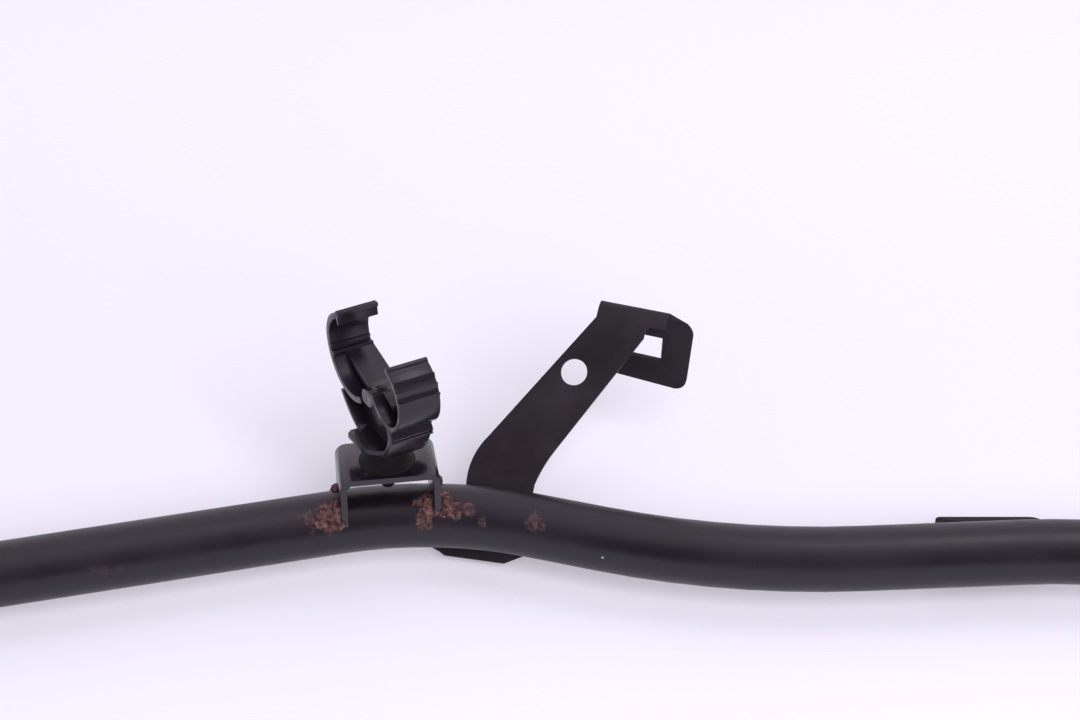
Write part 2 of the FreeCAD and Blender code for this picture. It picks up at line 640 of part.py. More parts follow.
# ---------------------------------------------------------------- strap bracket
# A flat strap tangent to the back of the bar, leaning back, with its top folded over.
lean = math.radians(size["strap_lean"])
strap_turn = math.radians(-9)
strap_x = V(math.cos(strap_turn), math.sin(strap_turn), 0)
strap_n = V(math.sin(strap_turn) * math.cos(lean), -math.cos(strap_turn) * math.cos(lean), math.sin(lean))
strap_y = strap_n.cross(strap_x)
# the bar axis passes here behind the strap's foot
strap_seat = V(-10.9, 45.1, axis_z)
# the flat strap stands just clear of the curved bar and is held by its welds
touch = strap_seat - strap_n * (bar_r + 0.35)
strap_frame = axes(strap_x, strap_y, touch - strap_n * t)
fold_a = (21.6, 73.4)
fold_b = (43.8, 71.1)
fold_len = math.dist(fold_a, fold_b)
along = ((fold_b[0] - fold_a[0]) / fold_len, (fold_b[1] - fold_a[1]) / fold_len)
above = (-along[1], along[0])
bend_out = size["fold_radius"] + t
fold_a = (fold_a[0] - above[0] * bend_out, fold_a[1] - above[1] * bend_out)
fold_b = (fold_b[0] - above[0] * bend_out, fold_b[1] - above[1] * bend_out)
strap_plate = pad("strap_plate", strap_frame, [((-24.0, -10.2), [
    (-21.3, -11.3), (-19.6, -12.4), (-0.6, -13.1), (1.2, -12.2), (5.4, -10.1),
    (5.9, 6.0), (6.6, 12.7), ((8.5, 17.6), (11.6, 23.4)), (36.6, 62.0),
    ((39.2, 66.0), fold_b), fold_a,
    (-9.5, 26.5), ((-14.0, 18.4), (-15.0, 10.7)), (-15.6, 4.0), (-24.0, -10.2),
])], "sizes.sheet_thick", [(15.6, 49.3, "sizes.strap_hole_radius", 4.25)])
fold_dir = strap_x * along[0] + strap_y * along[1]
fold_up = strap_x * above[0] + strap_y * above[1]
fold_end = touch + strap_x * fold_b[0] + strap_y * fold_b[1] - strap_n * bend_out
fold_frame = axes(strap_n, fold_up, fold_end)
outer_fold = cylinder("strap_fold_outer", fold_frame, "sizes.fold_radius + sizes.sheet_thick",
                      "%.6f" % fold_len, "sizes.fold_turn")
inner_fold = cylinder("strap_fold_inner", fold_frame, "sizes.fold_radius", "%.6f" % fold_len)
fold = remove("strap_fold", outer_fold, inner_fold)
turn = math.radians(size["fold_turn"])
fold_out = strap_n * math.cos(turn) + fold_up * math.sin(turn)
fold_down = strap_n * -math.sin(turn) + fold_up * math.cos(turn)
fold_start = fold_end - fold_dir * fold_len
flange_origin = fold_start + fold_out * size["fold_radius"]
# local X along the fold, local Y down the flange, local Z away from the inside of the fold
flange_frame = axes(fold_dir, fold_down, flange_origin)
window = ((9.0, 5.2), [(20.8, 5.5), (21.1, 14.5), (9.0, 14.1), (9.0, 5.2)])
flange_plate = pad("strap_flange", flange_frame, [
    ((0, 0), [
        (fold_len + 8.1, 0), (fold_len + 7.8, 20.4),
        ((fold_len + 6.6, 23.0), (fold_len + 4.0, 23.9)), (6.2, 22.2),
        ((3.0, 20.8), (1.6, 18.2)), (0, 0),
    ]),
    window,
], "sizes.sheet_thick")
# the flange reaches past the fold on one side, and its corner there is cropped round
reach = 8.1
wing_frame = axes(strap_n, fold_up, fold_end + fold_dir * reach)
wing_outer = cylinder("strap_wing_outer", wing_frame, "sizes.fold_radius + sizes.sheet_thick",
                      "%.6f" % (reach + 0.4), "sizes.fold_turn")
wing_inner = cylinder("strap_wing_inner", wing_frame, "sizes.fold_radius", "%.6f" % (reach + 0.4))
crop_frame = axes(fold_dir, fold_up, fold_end - strap_n * 12)
wing_front = pad("strap_wing_front", axes(fold_dir, fold_up, fold_end - strap_n * 0.4), [((0, -9), [
    (9.5, -9), (9.5, 9), (0, 9), (0, -9),
])], "9")
wing_crop = pad("strap_wing_crop", crop_frame, [((0, bend_out), [
    (5.4, bend_out - 1.9), ((7.2, bend_out - 3.0), (8.1, bend_out - 5.2)), (9.5, bend_out - 5.4),
    (9.5, bend_out + 3), (0, bend_out + 3), (0, bend_out),
])], "24")
wing_tools = join("strap_wing_tools", [wing_inner, wing_front])
wing = remove("strap_wing", wing_outer, wing_tools)
folded = join("strap_folded", [strap_plate, fold, flange_plate, wing])
keep(remove("strap_blank", folded, wing_crop), "strap_bracket")

# Fillet welds along the strap's foot, above and below the line where it meets the bar.
weld_pieces = []
for index, (x_from, x_to, rise, radius) in enumerate((
    (-13.0, -6.0, 5.3, 1.6), (-3.2, 3.6, 5.2, 1.5), (-19.0, -10.5, -5.4, 1.7), (-7.6, 2.4, -5.2, 1.6),
)):
    base = touch + strap_y * rise + strap_n * 1.2
    weld_pieces.append(weld_run("strap_bead_%d" % (index + 1), base + strap_x * x_from,
                                base + strap_x * x_to, radius))
strap_weld_group = join("strap_bead_group", weld_pieces)
strap_weld_cut = remove("strap_bead_cut", strap_weld_group, rod)
keep(remove("strap_bead_trim", strap_weld_cut, strap_plate), "strap_bracket_welds")

# ---------------------------------------------------------------- rear tab
# A small level tab with a hole, welded behind the bar on its right part.
tab_y = 42 - 13.4
tab_root = tab_y + bar_r * 0.93
tab_end = tab_y + size["tab_reach"]
tab_plate = pad(
    "tab_plate",
    FreeCAD.Placement(V(0, 0, axis_z - 3 - size["tab_thick"]), FreeCAD.Rotation()),
    [((124, tab_root - 4), [
        (124, tab_end - 1.6), ((124.47, tab_end - 0.47), (125.6, tab_end)), (153, tab_end),
        ((157.95, tab_end - 2.05), (160, tab_end - 7)), (160, tab_root - 4), (124, tab_root - 4),
    ])],
    "sizes.tab_thick", [(142, tab_end - 8, "sizes.tab_hole_radius", 3.3)],
)
keep(remove("tab_cut", tab_plate, rod), "rear_tab_bracket")
tab_beads = []
for index, (x_from, x_to, level) in enumerate((
    (126.5, 136, 0.7), (147, 157, 0.7), (128, 139, -size["tab_thick"] - 0.7),
)):
    bar_back = 42 + bar_r * math.cos(math.asin(min(0.9, (3 - level) / bar_r)))
    tab_beads.append(weld_run(
        "tab_bead_%d" % (index + 1),
        V(x_from, bar_back - 13.9 + 0.1, axis_z - 3 + level),
        V(x_to, bar_back - 13.2 + 0.1, axis_z - 3 + level), 1.5,
    ))
tab_bead_group = join("tab_bead_group", tab_beads)
tab_bead_cut = remove("tab_bead_cut", tab_bead_group, rod)
keep(remove("tab_bead_trim", tab_bead_cut, tab_plate), "rear_tab_welds")

# ---------------------------------------------------------------- drop links
ball_r = size["ball_radius"]
neck = size["neck_radius"]
shank = size["shank_radius"]
house_r = size["housing_radius"]
collar = size["link_offset"] - size["eye_thick"] / 2
seat_r = house_r - 2.5


def stud(label, frame):
    """Ball stud along local X: ball at the origin, collar, then a threaded shank."""
    thread_end = collar + size["shank_length"]
    neck_at = -math.sqrt(ball_r ** 2 - neck ** 2)
    steps = [
        ((0, ball_r), (neck_at, neck)), (-collar + 4.6, neck), (-collar + 4, 8), (-collar, 8),
        (-collar, shank), (-thread_end + 1, shank), (-thread_end, shank - 1), (-thread_end, 0),
        (ball_r, 0),
    ]
    return turned(label, frame, (ball_r, 0), steps)


def housing(label, frame):
    """Open cup round the ball, with a nose for the boot and a rolled rim over its cap."""
    return turned(label, frame, (-9.6, 8.4), [
        (-9.6, house_r - 2.6), (-8.6, house_r - 2.6), (-8.6, house_r - 3.2), (-7.2, house_r - 3.2),
        (-7.2, house_r - 0.6), (-6.6, house_r), (10.4, house_r), (11.1, house_r - 0.8),
        (11.1, seat_r - 1), (10.4, seat_r - 1), (10.4, seat_r), (-5.6, seat_r), (-5.6, 7.8),
        (-9.6, 8.4),
    ])


def ball_seat(label, frame):
    cavity = ball_r + 0.06
    opening = 6.9
    start = -math.sqrt(cavity ** 2 - opening ** 2)
    return turned(label, frame, (-5.5, opening), [
        (-5.5, seat_r - 0.05), (8.2, seat_r - 0.05), (8.2, 4.2), (math.sqrt(cavity ** 2 - 4.2 ** 2), 4.2),
        ((0, cavity), (start, opening)), (-5.5, opening),
    ])


def cap(label, frame):
    return turned(label, frame, (8.3, 0), [
        (8.3, seat_r - 0.05), (10.35, seat_r - 0.05), (10.35, seat_r - 2.2), (9.7, seat_r - 2.8),
        (9.7, 0), (8.3, 0),
    ])


def boot(label, frame):
    """Rubber bellows from the housing's nose to the stud's neck."""
    small = -collar + 5.2
    n = house_r - 3.2
    return turned(label, frame, (-7.4, n + 0.05), [
        (-7.4, n + 1.7), (-7.9, n + 1.7), (-7.9, n + 1.3), (-8.9, n + 1.3), (-8.9, n + 1.9),
        ((-12.2, n + 2.6), (-14.6, n - 0.6)), ((-15.8, n - 2.2), (-16.6, n - 3.4)),
        (small + 0.9, neck + 1.5), (small + 0.9, neck + 1.0), (small + 0.1, neck + 1.0),
        (small + 0.1, neck + 1.5), (small - 0.4, neck + 1.5), (small - 0.4, neck + 0.06),
        (small + 1.6, neck + 0.06), ((-15.4, n - 3.0), (-13.7, n - 1.2)),
        ((-11.9, n + 1.2), (-9.65, n + 0.6)), (-9.65, n + 0.62), (-8.55, n + 0.62),
        (-8.55, n + 0.05), (-7.4, n + 0.05),
    ])


def boot_rings(label, frame):
    small = -collar + 5.2
    n = house_r - 3.2
    big = turned(label + "_large", frame, (-7.95, n + 1.3), [
        (-7.95, n + 2.1), (-8.85, n + 2.1), (-8.85, n + 1.3), (-7.95, n + 1.3),
    ])
    little = turned(label + "_small", frame, (small + 0.85, neck + 1.0), [
        (small + 0.85, neck + 1.8), (small + 0.15, neck + 1.8), (small + 0.15, neck + 1.0),
        (small + 0.85, neck + 1.0),
    ])
    return big, little


def hexagon(flats):
    radius = flats / math.sqrt(3)
    spots = [polar((0, 0), radius, 60 * i) for i in range(7)]
    return (spots[0], spots[1:])


for side, name in ((-1, "left"), (1, "right")):
    low = V(side * (arm_x + size["link_offset"]), size["arm_length"], axis_z)
    high = low + V(0, 0, size["link_length"])
    for level, at in (("lower", low), ("upper", high)):
        frame = axes(V(side, 0, 0), V(0, 0, 1), at)
        label = "%s_%s_" % (name, level)
        keep(stud(label + "ball_stud_turned", frame), label + "ball_stud")
        keep(housing(label + "housing_turned", frame), label + "housing")
        keep(ball_seat(label + "seat_turned", frame), label + "ball_seat")
        keep(cap(label + "cap_turned", frame), label + "housing_cap")
        keep(boot(label + "boot_turned", frame), label + "boot")
        for ring, tag in zip(boot_rings(label + "clamp", frame), ("boot_clamp", "boot_neck_ring")):
            keep(ring, label + tag)
    # rod between the housings, notched to their round flanks
    rod_blank = cylinder(name + "_rod_blank", FreeCAD.Placement(low, FreeCAD.Rotation()),
                         "sizes.rod_radius", "sizes.link_length")
    flanks = []
    for level, at in (("lower", low), ("upper", high)):
        flanks.append(cylinder(
            "%s_rod_%s_flank" % (name, level),
            FreeCAD.Placement(at - V(20, 0, 0), FreeCAD.Rotation(V(0, 1, 0), 90)),
            "sizes.housing_radius", "40",
        ))
    flank_pair = join(name + "_rod_flanks", flanks)
    collars = []
    for level, at, way in (("lower", low, 1), ("upper", high, -1)):
        bead = doc.addObject("Part::Torus", "%s_rod_%s_weld" % (name, level))
        bind(bead, Radius1="sizes.rod_radius")
        bead.Radius2 = 1.6
        bead.Placement = FreeCAD.Placement(at + V(0, 0, way * (house_r - 0.2)), FreeCAD.Rotation())
        collars.append(bead)
    rod_solid = join(name + "_rod_solid", [rod_blank] + collars)
    keep(remove(name + "_rod_cut", rod_solid, flank_pair), name + "_link_rod")
    # nut that holds the lower stud in the eye
    nut_face = V(side * (arm_x - size["eye_thick"] / 2), size["arm_length"], axis_z)
    nut_frame = axes(V(0, side, 0), V(0, 0, 1), nut_face - V(side * size["nut_height"], 0, 0))
    hexed = pad(name + "_nut_hex", nut_frame, [hexagon(size["nut_flats"])], "sizes.nut_height",
                [(0, 0, "sizes.shank_radius", shank)])
    washer = pad(name + "_nut_collar",
                 axes(V(0, side, 0), V(0, 0, 1), nut_face - V(side * 1.6, 0, 0)), [], "1.6",
                 [(0, 0, "10.4", 10.4), (0, 0, "sizes.shank_radius", shank)])
    keep(join(name + "_nut_blank", [hexed, washer]), name + "_lower_nut")

# ---------------------------------------------------------------- check and write
doc.recompute()
for piece in doc.Objects:
    if "Invalid" in piece.State or "Error" in piece.State:
        raise RuntimeError("%s could not be built" % piece.Label)
os.makedirs("parts", exist_ok=True)
for piece in nodes:
    shape = piece.Shape
    if shape.isNull() or not shape.isValid() or shape.Volume <= 0:
        raise RuntimeError("%s is not a sound solid" % piece.Label)
    shape.exportStep(os.path.join("parts", piece.Label + ".step"))
    print("%-28s %10.1f mm3  %d solid(s)" % (piece.Label, shape.Volume, len(shape.Solids)))
print(len(nodes), "nodes")
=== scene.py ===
import json
import math
import random

import bpy
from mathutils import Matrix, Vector

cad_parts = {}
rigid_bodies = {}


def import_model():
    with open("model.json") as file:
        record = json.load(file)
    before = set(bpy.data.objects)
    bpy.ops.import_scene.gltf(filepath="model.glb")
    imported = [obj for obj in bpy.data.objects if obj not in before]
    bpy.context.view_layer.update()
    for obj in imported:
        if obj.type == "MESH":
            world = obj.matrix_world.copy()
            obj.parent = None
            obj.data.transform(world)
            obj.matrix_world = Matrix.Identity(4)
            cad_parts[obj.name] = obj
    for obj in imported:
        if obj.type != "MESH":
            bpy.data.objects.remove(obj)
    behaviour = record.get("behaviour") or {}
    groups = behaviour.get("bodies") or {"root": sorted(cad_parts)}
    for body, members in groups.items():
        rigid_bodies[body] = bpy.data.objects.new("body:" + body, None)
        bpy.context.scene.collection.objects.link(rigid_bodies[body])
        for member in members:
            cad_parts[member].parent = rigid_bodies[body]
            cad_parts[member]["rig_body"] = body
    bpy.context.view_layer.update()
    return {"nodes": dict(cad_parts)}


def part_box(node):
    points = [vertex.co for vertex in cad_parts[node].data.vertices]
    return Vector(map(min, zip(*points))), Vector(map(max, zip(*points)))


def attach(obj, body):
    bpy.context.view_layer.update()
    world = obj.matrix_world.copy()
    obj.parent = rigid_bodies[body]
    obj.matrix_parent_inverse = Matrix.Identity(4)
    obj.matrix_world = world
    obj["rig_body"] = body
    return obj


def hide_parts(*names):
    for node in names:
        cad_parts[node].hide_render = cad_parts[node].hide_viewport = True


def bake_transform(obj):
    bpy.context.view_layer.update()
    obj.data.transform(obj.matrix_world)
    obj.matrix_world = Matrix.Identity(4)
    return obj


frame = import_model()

# ------------------------------------------------------------------ round bar
# The bar is one solid spring-steel rod, cold bent, with its two ends forged flat into eyes.
# It is sprayed satin black; the coat has orange peel, dust nibs and two small chips, and rust
# has started beside the welds.


def node(tree, kind, **settings):
    """Add a shader node; a setting names one of its sockets or, failing that, a property."""
    made = tree.nodes.new(kind)
    for key, value in settings.items():
        if key in made.inputs:
            made.inputs[key].default_value = value
        else:
            setattr(made, key, value)
    return made


def wire(tree, source, output, target, name):
    """Link one node's output to another's input."""
    tree.links.new(source.outputs[output], target.inputs[name])


def new_group(name, takes, gives):
    """Shader node group with named inputs and outputs; returns its tree and end nodes."""
    tree = bpy.data.node_groups.new(name, "ShaderNodeTree")
    for socket, kind, value in takes:
        made = tree.interface.new_socket(socket, in_out="INPUT", socket_type=kind)
        made.default_value = value
    for socket, kind in gives:
        tree.interface.new_socket(socket, in_out="OUTPUT", socket_type=kind)
    return tree, tree.nodes.new("NodeGroupInput"), tree.nodes.new("NodeGroupOutput")


def math_node(tree, operation, first, second=None, third=None):
    """Maths on links or plain numbers; a link is a (node, output) pair."""
    made = tree.nodes.new("ShaderNodeMath")
    made.operation = operation
    for index, value in enumerate((first, second, third)):
        if value is None:
            continue
        if isinstance(value, tuple):
            tree.links.new(value[0].outputs[value[1]], made.inputs[index])
        else:
            made.inputs[index].default_value = value
    return (made, 0)


def spread(tree, source, low, high, to_low=0.0, to_high=1.0):
    """Stretch a value smoothly between two levels."""
    made = tree.nodes.new("ShaderNodeMapRange")
    made.interpolation_type = "SMOOTHSTEP"
    tree.links.new(source[0].outputs[source[1]], made.inputs["Value"])
    for name, value in (("From Min", low), ("From Max", high), ("To Min", to_low), ("To Max", to_high)):
        made.inputs[name].default_value = value
    return (made, 0)


def noise(tree, place, scale, detail=2.0, rough=0.5):
    """Noise read at a place, which is a (node, output) pair."""
    made = node(tree, "ShaderNodeTexNoise", Scale=scale, Detail=detail, Roughness=rough)
    tree.links.new(place[0].outputs[place[1]], made.inputs["Vector"])
    return made


# Grain: the fine skin of a finish, a broad waviness and a fine tooth, and slow colour drift.
grain, grain_in, grain_out = new_group(
    "finish_grain",
    (("Broad", "NodeSocketFloat", 260.0), ("Fine", "NodeSocketFloat", 2200.0),
     ("Tooth", "NodeSocketFloat", 0.4)),
    (("Height", "NodeSocketFloat"), ("Drift", "NodeSocketFloat")),
)
place = (grain.nodes.new("ShaderNodeTexCoord"), "Object")
wave = noise(grain, place, 260, 2)
tooth = noise(grain, place, 2200, 3, 0.6)
wire(grain, grain_in, "Broad", wave, "Scale")
wire(grain, grain_in, "Fine", tooth, "Scale")
mixed = math_node(grain, "MULTIPLY_ADD", (tooth, 0), (grain_in, "Tooth"), (wave, 0))
grain.links.new(mixed[0].outputs[0], grain_out.inputs["Height"])
cloud = noise(grain, place, 34, 4, 0.6)
drift = spread(grain, (cloud, 0), 0.3, 0.7)
grain.links.new(drift[0].outputs[0], grain_out.inputs["Drift"])

# Patch: a ragged round spot at a place on the object, for rust, stains and scuffs.
patch, patch_in, patch_out = new_group(
    "ragged_patch",
    (("Centre", "NodeSocketVector", (0, 0, 0)), ("Reach", "NodeSocketFloat", 0.005),
     ("Rag", "NodeSocketFloat", 420.0)),
    (("Mask", "NodeSocketFloat"),),
)
place = (patch.nodes.new("ShaderNodeTexCoord"), "Object")
apart = patch.nodes.new("ShaderNodeVectorMath")
apart.operation = "DISTANCE"
patch.links.new(place[0].outputs["Object"], apart.inputs[0])
wire(patch, patch_in, "Centre", apart, 1)
ratio = math_node(patch, "DIVIDE", (apart, "Value"), (patch_in, "Reach"))
ragged = noise(patch, place, 420, 4, 0.65)
wire(patch, patch_in, "Rag", ragged, "Scale")
shifted = math_node(patch, "MULTIPLY_ADD", (ragged, 0), 2.6, -1.3)
edge = math_node(patch, "ADD", ratio, shifted)
inside = spread(patch, edge, 1.15, 0.45)
broken = noise(patch, place, 1100, 3, 0.6)
whole = math_node(patch, "MULTIPLY_ADD", inside, 0.75, (broken, 0))
flaked = spread(patch, whole, 0.66, 1.12)
rusty = math_node(patch, "MULTIPLY", flaked, inside)
patch.links.new(rusty[0].outputs[0], patch_out.inputs["Mask"])

# Specks: sparse tiny dots, such as dust nibs and grit.
specks, specks_in, specks_out = new_group(
    "fine_specks",
    (("Scale", "NodeSocketFloat", 160.0), ("Share", "NodeSocketFloat", 0.06),
     ("Size", "NodeSocketFloat", 0.1)),
    (("Mask", "NodeSocketFloat"),),
)
place = (specks.nodes.new("ShaderNodeTexCoord"), "Object")
cells = node(specks, "ShaderNodeTexVoronoi", Scale=160.0)
specks.links.new(place[0].outputs["Object"], cells.inputs["Vector"])
wire(specks, specks_in, "Scale", cells, "Scale")
near = math_node(specks, "LESS_THAN", (cells, "Distance"), (specks_in, "Size"))
lot = specks.nodes.new("ShaderNodeSeparateColor")
wire(specks, cells, "Color", lot, "Color")
chosen = math_node(specks, "LESS_THAN", (lot, 0), (specks_in, "Share"))
dots = math_node(specks, "MULTIPLY", near, chosen)
specks.links.new(dots[0].outputs[0], specks_out.inputs["Mask"])


def use(tree, group, **values):
    """Place a node group with its own values."""
    made = tree.nodes.new("ShaderNodeGroup")
    made.node_tree = group
    for name, value in values.items():
        made.inputs[name].default_value = value
    return made


def blend_colour(tree, mask, under, over):
    """Mix two colours by a mask; each is a link or a plain colour."""
    made = tree.nodes.new("ShaderNodeMix")
    made.data_type = "RGBA"
    tree.links.new(mask[0].outputs[mask[1]], made.inputs[0])
    for index, value in ((6, under), (7, over)):
        if isinstance(value, tuple) and len(value) == 2:
            tree.links.new(value[0].outputs[value[1]], made.inputs[index])
        else:
            made.inputs[index].default_value = (*value, 1)
    return (made, 2)


def start_material(name):
    """New material; returns it with its tree and its shader."""
    made = bpy.data.materials.new(name)
    made.use_nodes = True
    tree = made.node_tree
    return made, tree, tree.nodes["Principled BSDF"]


def bump(tree, shader, height, depth, strength=1.0, under=None):
    """Raise the surface by a height, over another bump if one is given."""
    made = node(tree, "ShaderNodeBump", Strength=strength, Distance=depth)
    tree.links.new(height[0].outputs[height[1]], made.inputs["Height"])
    if under is not None:
        tree.links.new(under.outputs[0], made.inputs["Normal"])
    tree.links.new(made.outputs[0], shader.inputs["Normal"])


def feed(tree, source, shader, socket):
    """Link a (node, output) pair to one of the shader's sockets."""
    tree.links.new(source[0].outputs[source[1]], shader.inputs[socket])


def shaded(colour, share):
    """A colour made darker or lighter by a share."""
    return tuple(part * share for part in colour)


dust_grey = (0.34, 0.32, 0.34)
chip_grey = (0.36, 0.34, 0.37)


def paint(name, colour, rough, coat=0.0, tooth=0.4, drift=0.25, peel=0.00012, spots=(), nibs=True,
          gloss=0.5, rust_light=(0.190, 0.098, 0.090), rust_dark=(0.030, 0.012, 0.013), all_over=0.0,
          chips=()):
    """Painted steel with orange peel, slow drift of shade and dust nibs.

    Each rust spot is its centre, reach and strength; each chip is its centre and reach;
    all_over is how much of the whole piece has rusted through its paint.
    """
    made, tree, shader = start_material(name)
    skin = use(tree, grain, Broad=300.0, Fine=2600.0, Tooth=tooth)
    base = blend_colour(tree, (skin, "Drift"), shaded(colour, 1 - drift), shaded(colour, 1 + drift))
    level = spread(tree, (skin, "Drift"), 0.0, 1.0, rough - 0.05, rough + 0.06)
    height = (skin, "Height")
    if nibs:
        dot = use(tree, specks, Scale=95.0, Share=0.035, Size=0.055)
        base = blend_colour(tree, (dot, "Mask"), base, dust_grey)
    coords = (tree.nodes.new("ShaderNodeTexCoord"), "Object")
    if spots or all_over:
        total = None
        for centre, reach, strength in spots:
            ragged_spot = (use(tree, patch, Centre=centre, Reach=reach), "Mask")
            spot = math_node(tree, "MULTIPLY", ragged_spot, strength)
            total = spot if total is None else math_node(tree, "MAXIMUM", total, spot)
        if all_over:
            flecks = noise(tree, coords, 380, 5, 0.7)
            flecked = spread(tree, (flecks, 0), 0.62 - all_over * 0.3, 0.70 - all_over * 0.3)
            total = flecked if total is None else math_node(tree, "MAXIMUM", total, flecked)
        crust = noise(tree, coords, 700, 5, 0.72)
        tone = spread(tree, (crust, 0), 0.38, 0.68)
        rust = blend_colour(tree, tone, rust_dark, rust_light)
        base = blend_colour(tree, total, base, rust)
        level = math_node(tree, "MAXIMUM", level, math_node(tree, "MULTIPLY", total, 0.85))
        raised = math_node(tree, "MULTIPLY", (crust, 0), total)
        scabs = node(tree, "ShaderNodeBump", Strength=0.8, Distance=0.0007)
        tree.links.new(raised[0].outputs[0], scabs.inputs["Height"])
        bump(tree, shader, height, peel, 0.6, scabs)
    else:
        bump(tree, shader, height, peel, 0.6)
    for centre, reach in chips:
        away = node(tree, "ShaderNodeVectorMath", operation="DISTANCE")
        tree.links.new(coords[0].outputs["Object"], away.inputs[0])
        away.inputs[1].default_value = centre
        chip = math_node(tree, "LESS_THAN", (away, "Value"), reach)
        base = blend_colour(tree, chip, base, chip_grey)
    feed(tree, base, shader, "Base Color")
    feed(tree, level, shader, "Roughness")
    shader.inputs["Specular IOR Level"].default_value = gloss
    shader.inputs["Coat Weight"].default_value = coat
    shader.inputs["Coat Roughness"].default_value = 0.25
    return made


# rust beside the clip bracket's legs, more to the right of it, and three faint marks far to the left
bar_rust = (
    ((-0.0668, 0.0393, 0.0293), 0.0032, 0.9), ((-0.0661, 0.0364, 0.0271), 0.0046, 1.0),
    ((-0.0708, 0.0362, 0.0276), 0.0034, 0.35), ((-0.0352, 0.0411, 0.0273), 0.0036, 1.0),
    ((-0.0375, 0.0432, 0.0288), 0.0024, 0.9), ((-0.0358, 0.0386, 0.0246), 0.0030, 0.9),
    ((-0.0281, 0.0428, 0.0288), 0.0036, 1.0), ((-0.0262, 0.0404, 0.0271), 0.0026, 0.9),
    ((-0.0222, 0.0409, 0.0278), 0.0024, 0.75), ((-0.0012, 0.0352, 0.0272), 0.0038, 0.4),
    ((-0.0177, 0.0377, 0.0251), 0.0017, 0.6), ((-0.1320, 0.0173, 0.0229), 0.0026, 0.12),
    ((-0.1350, 0.0170, 0.0236), 0.0016, 0.1), ((-0.1275, 0.0186, 0.0225), 0.0014, 0.1),
)
bar_paint = paint("satin_black_bar", (0.0090, 0.0058, 0.0098), 0.38, coat=0.08, spots=bar_rust,
                  chips=(((0.0191, 0.0258, 0.0208), 0.00036), ((-0.0302, 0.0434, 0.0292), 0.0003)))


def dress(name, material):
    """Give a CAD node its finish."""
    piece = frame["nodes"][name]
    piece.data.materials.clear()
    piece.data.materials.append(material)


dress("stabiliser_bar", bar_paint)

# ------------------------------------------------------------------ clip bracket
# A 2 mm steel strip pressed into an arch and welded astride the bar. Its edges are rolled by
# the press, and its paint is glossier than the bar's.


def only(piece):
    """Select one object and make it active."""
    bpy.ops.object.select_all(action="DESELECT")
    piece.select_set(True)
    bpy.context.view_layer.objects.active = piece


same_point = 0.000002
same_plane = math.radians(0.4)
sharp_edge = math.radians(32)


def merged_copy(name, cad_name):
    """A copy of a CAD node with its doubled points merged, left all selected in edit mode."""
    piece = bpy.data.objects.new(name, frame["nodes"][cad_name].data.copy())
    bpy.context.scene.collection.objects.link(piece)
    only(piece)
    bpy.ops.object.mode_set(mode="EDIT")
    bpy.ops.mesh.select_all(action="SELECT")
    bpy.ops.mesh.remove_doubles(threshold=same_point)
    return piece


def softened(name, cad_name, material, width, segments=2):
    """A copy of a CAD node with its sharp edges rounded, standing for that node."""
    piece = merged_copy(name, cad_name)
    bpy.ops.mesh.dissolve_limited(angle_limit=same_plane)
    bpy.ops.object.mode_set(mode="OBJECT")
    modifier = piece.modifiers.new("rounded_edges", "BEVEL")
    modifier.width = width
    modifier.segments = segments
    modifier.limit_method = "ANGLE"
    modifier.angle_limit = sharp_edge
    modifier.use_clamp_overlap = True
    modifier.miter_outer = "MITER_ARC"
    bpy.ops.object.modifier_apply(modifier=modifier.name)
    bpy.ops.object.shade_smooth_by_angle(angle=math.radians(38))
    piece.data.materials.clear()
    piece.data.materials.append(material)
    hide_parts(cad_name)
    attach(piece, frame["nodes"][cad_name]["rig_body"])


bracket_rust = (
    ((-0.0640, 0.0355, 0.0270), 0.0028, 0.9), ((-0.0315, 0.0395, 0.0262), 0.0028, 0.8),
)
bracket_paint = paint("gloss_black_bracket", (0.0095, 0.0068, 0.0108), 0.20, coat=0.4, tooth=0.2,
                      peel=0.00006, spots=bracket_rust)
softened("pressed_clip_bracket", "clip_bracket", bracket_paint, 0.00035)

# ------------------------------------------------------------------ weld beads
# Short arc-weld runs: overlapping ripples of metal between bracket and bar, painted over in
# black. The clip bracket's runs have broken out in rust; the others have rusted less.
weld_finish = paint("rusting_weld", (0.013, 0.010, 0.014), 0.45, tooth=1.0, peel=0.0003, nibs=False,
                    all_over=1.0, rust_light=(0.235, 0.120, 0.108), rust_dark=(0.032, 0.013, 0.014))
dull_weld = paint("painted_weld", (0.013, 0.0105, 0.014), 0.42, tooth=1.0, peel=0.0003, nibs=False,
                  all_over=0.12)
ripple_clouds = bpy.data.textures.new("ripple_clouds", "CLOUDS")
ripple_clouds.noise_scale = 0.0022
ripple_clouds.noise_depth = 2


def weld_bead(name, points, radius, seed):
    """Ripples laid along points, merged into one lumpy bead."""
    luck = random.Random(seed)
    bpy.ops.object.select_all(action="DESELECT")
    blobs = []
    for point in points:
        jitter = Vector([luck.uniform(-0.22, 0.22) * radius for way in "xyz"])
        bpy.ops.mesh.primitive_ico_sphere_add(
            subdivisions=3, radius=radius * luck.uniform(0.85, 1.18), location=Vector(point) + jitter,
        )
        blobs.append(bpy.context.object)
    for blob in blobs:
        blob.select_set(True)
    bpy.context.view_layer.objects.active = blobs[0]
    bpy.ops.object.join()
    piece = bpy.context.object
    bpy.ops.object.transform_apply(location=True, rotation=True, scale=True)
    melt = piece.modifiers.new("melt", "REMESH")
    melt.mode = "VOXEL"
    melt.voxel_size = 0.00032
    bpy.ops.object.modifier_apply(modifier=melt.name)
    lumps = piece.modifiers.new("lumps", "DISPLACE")
    lumps.texture = ripple_clouds
    lumps.texture_coords = "LOCAL"
    lumps.strength = radius * 0.9
    lumps.mid_level = 0.55
    bpy.ops.object.modifier_apply(modifier=lumps.name)
    bpy.ops.object.shade_smooth()
    piece.name = name
    return piece


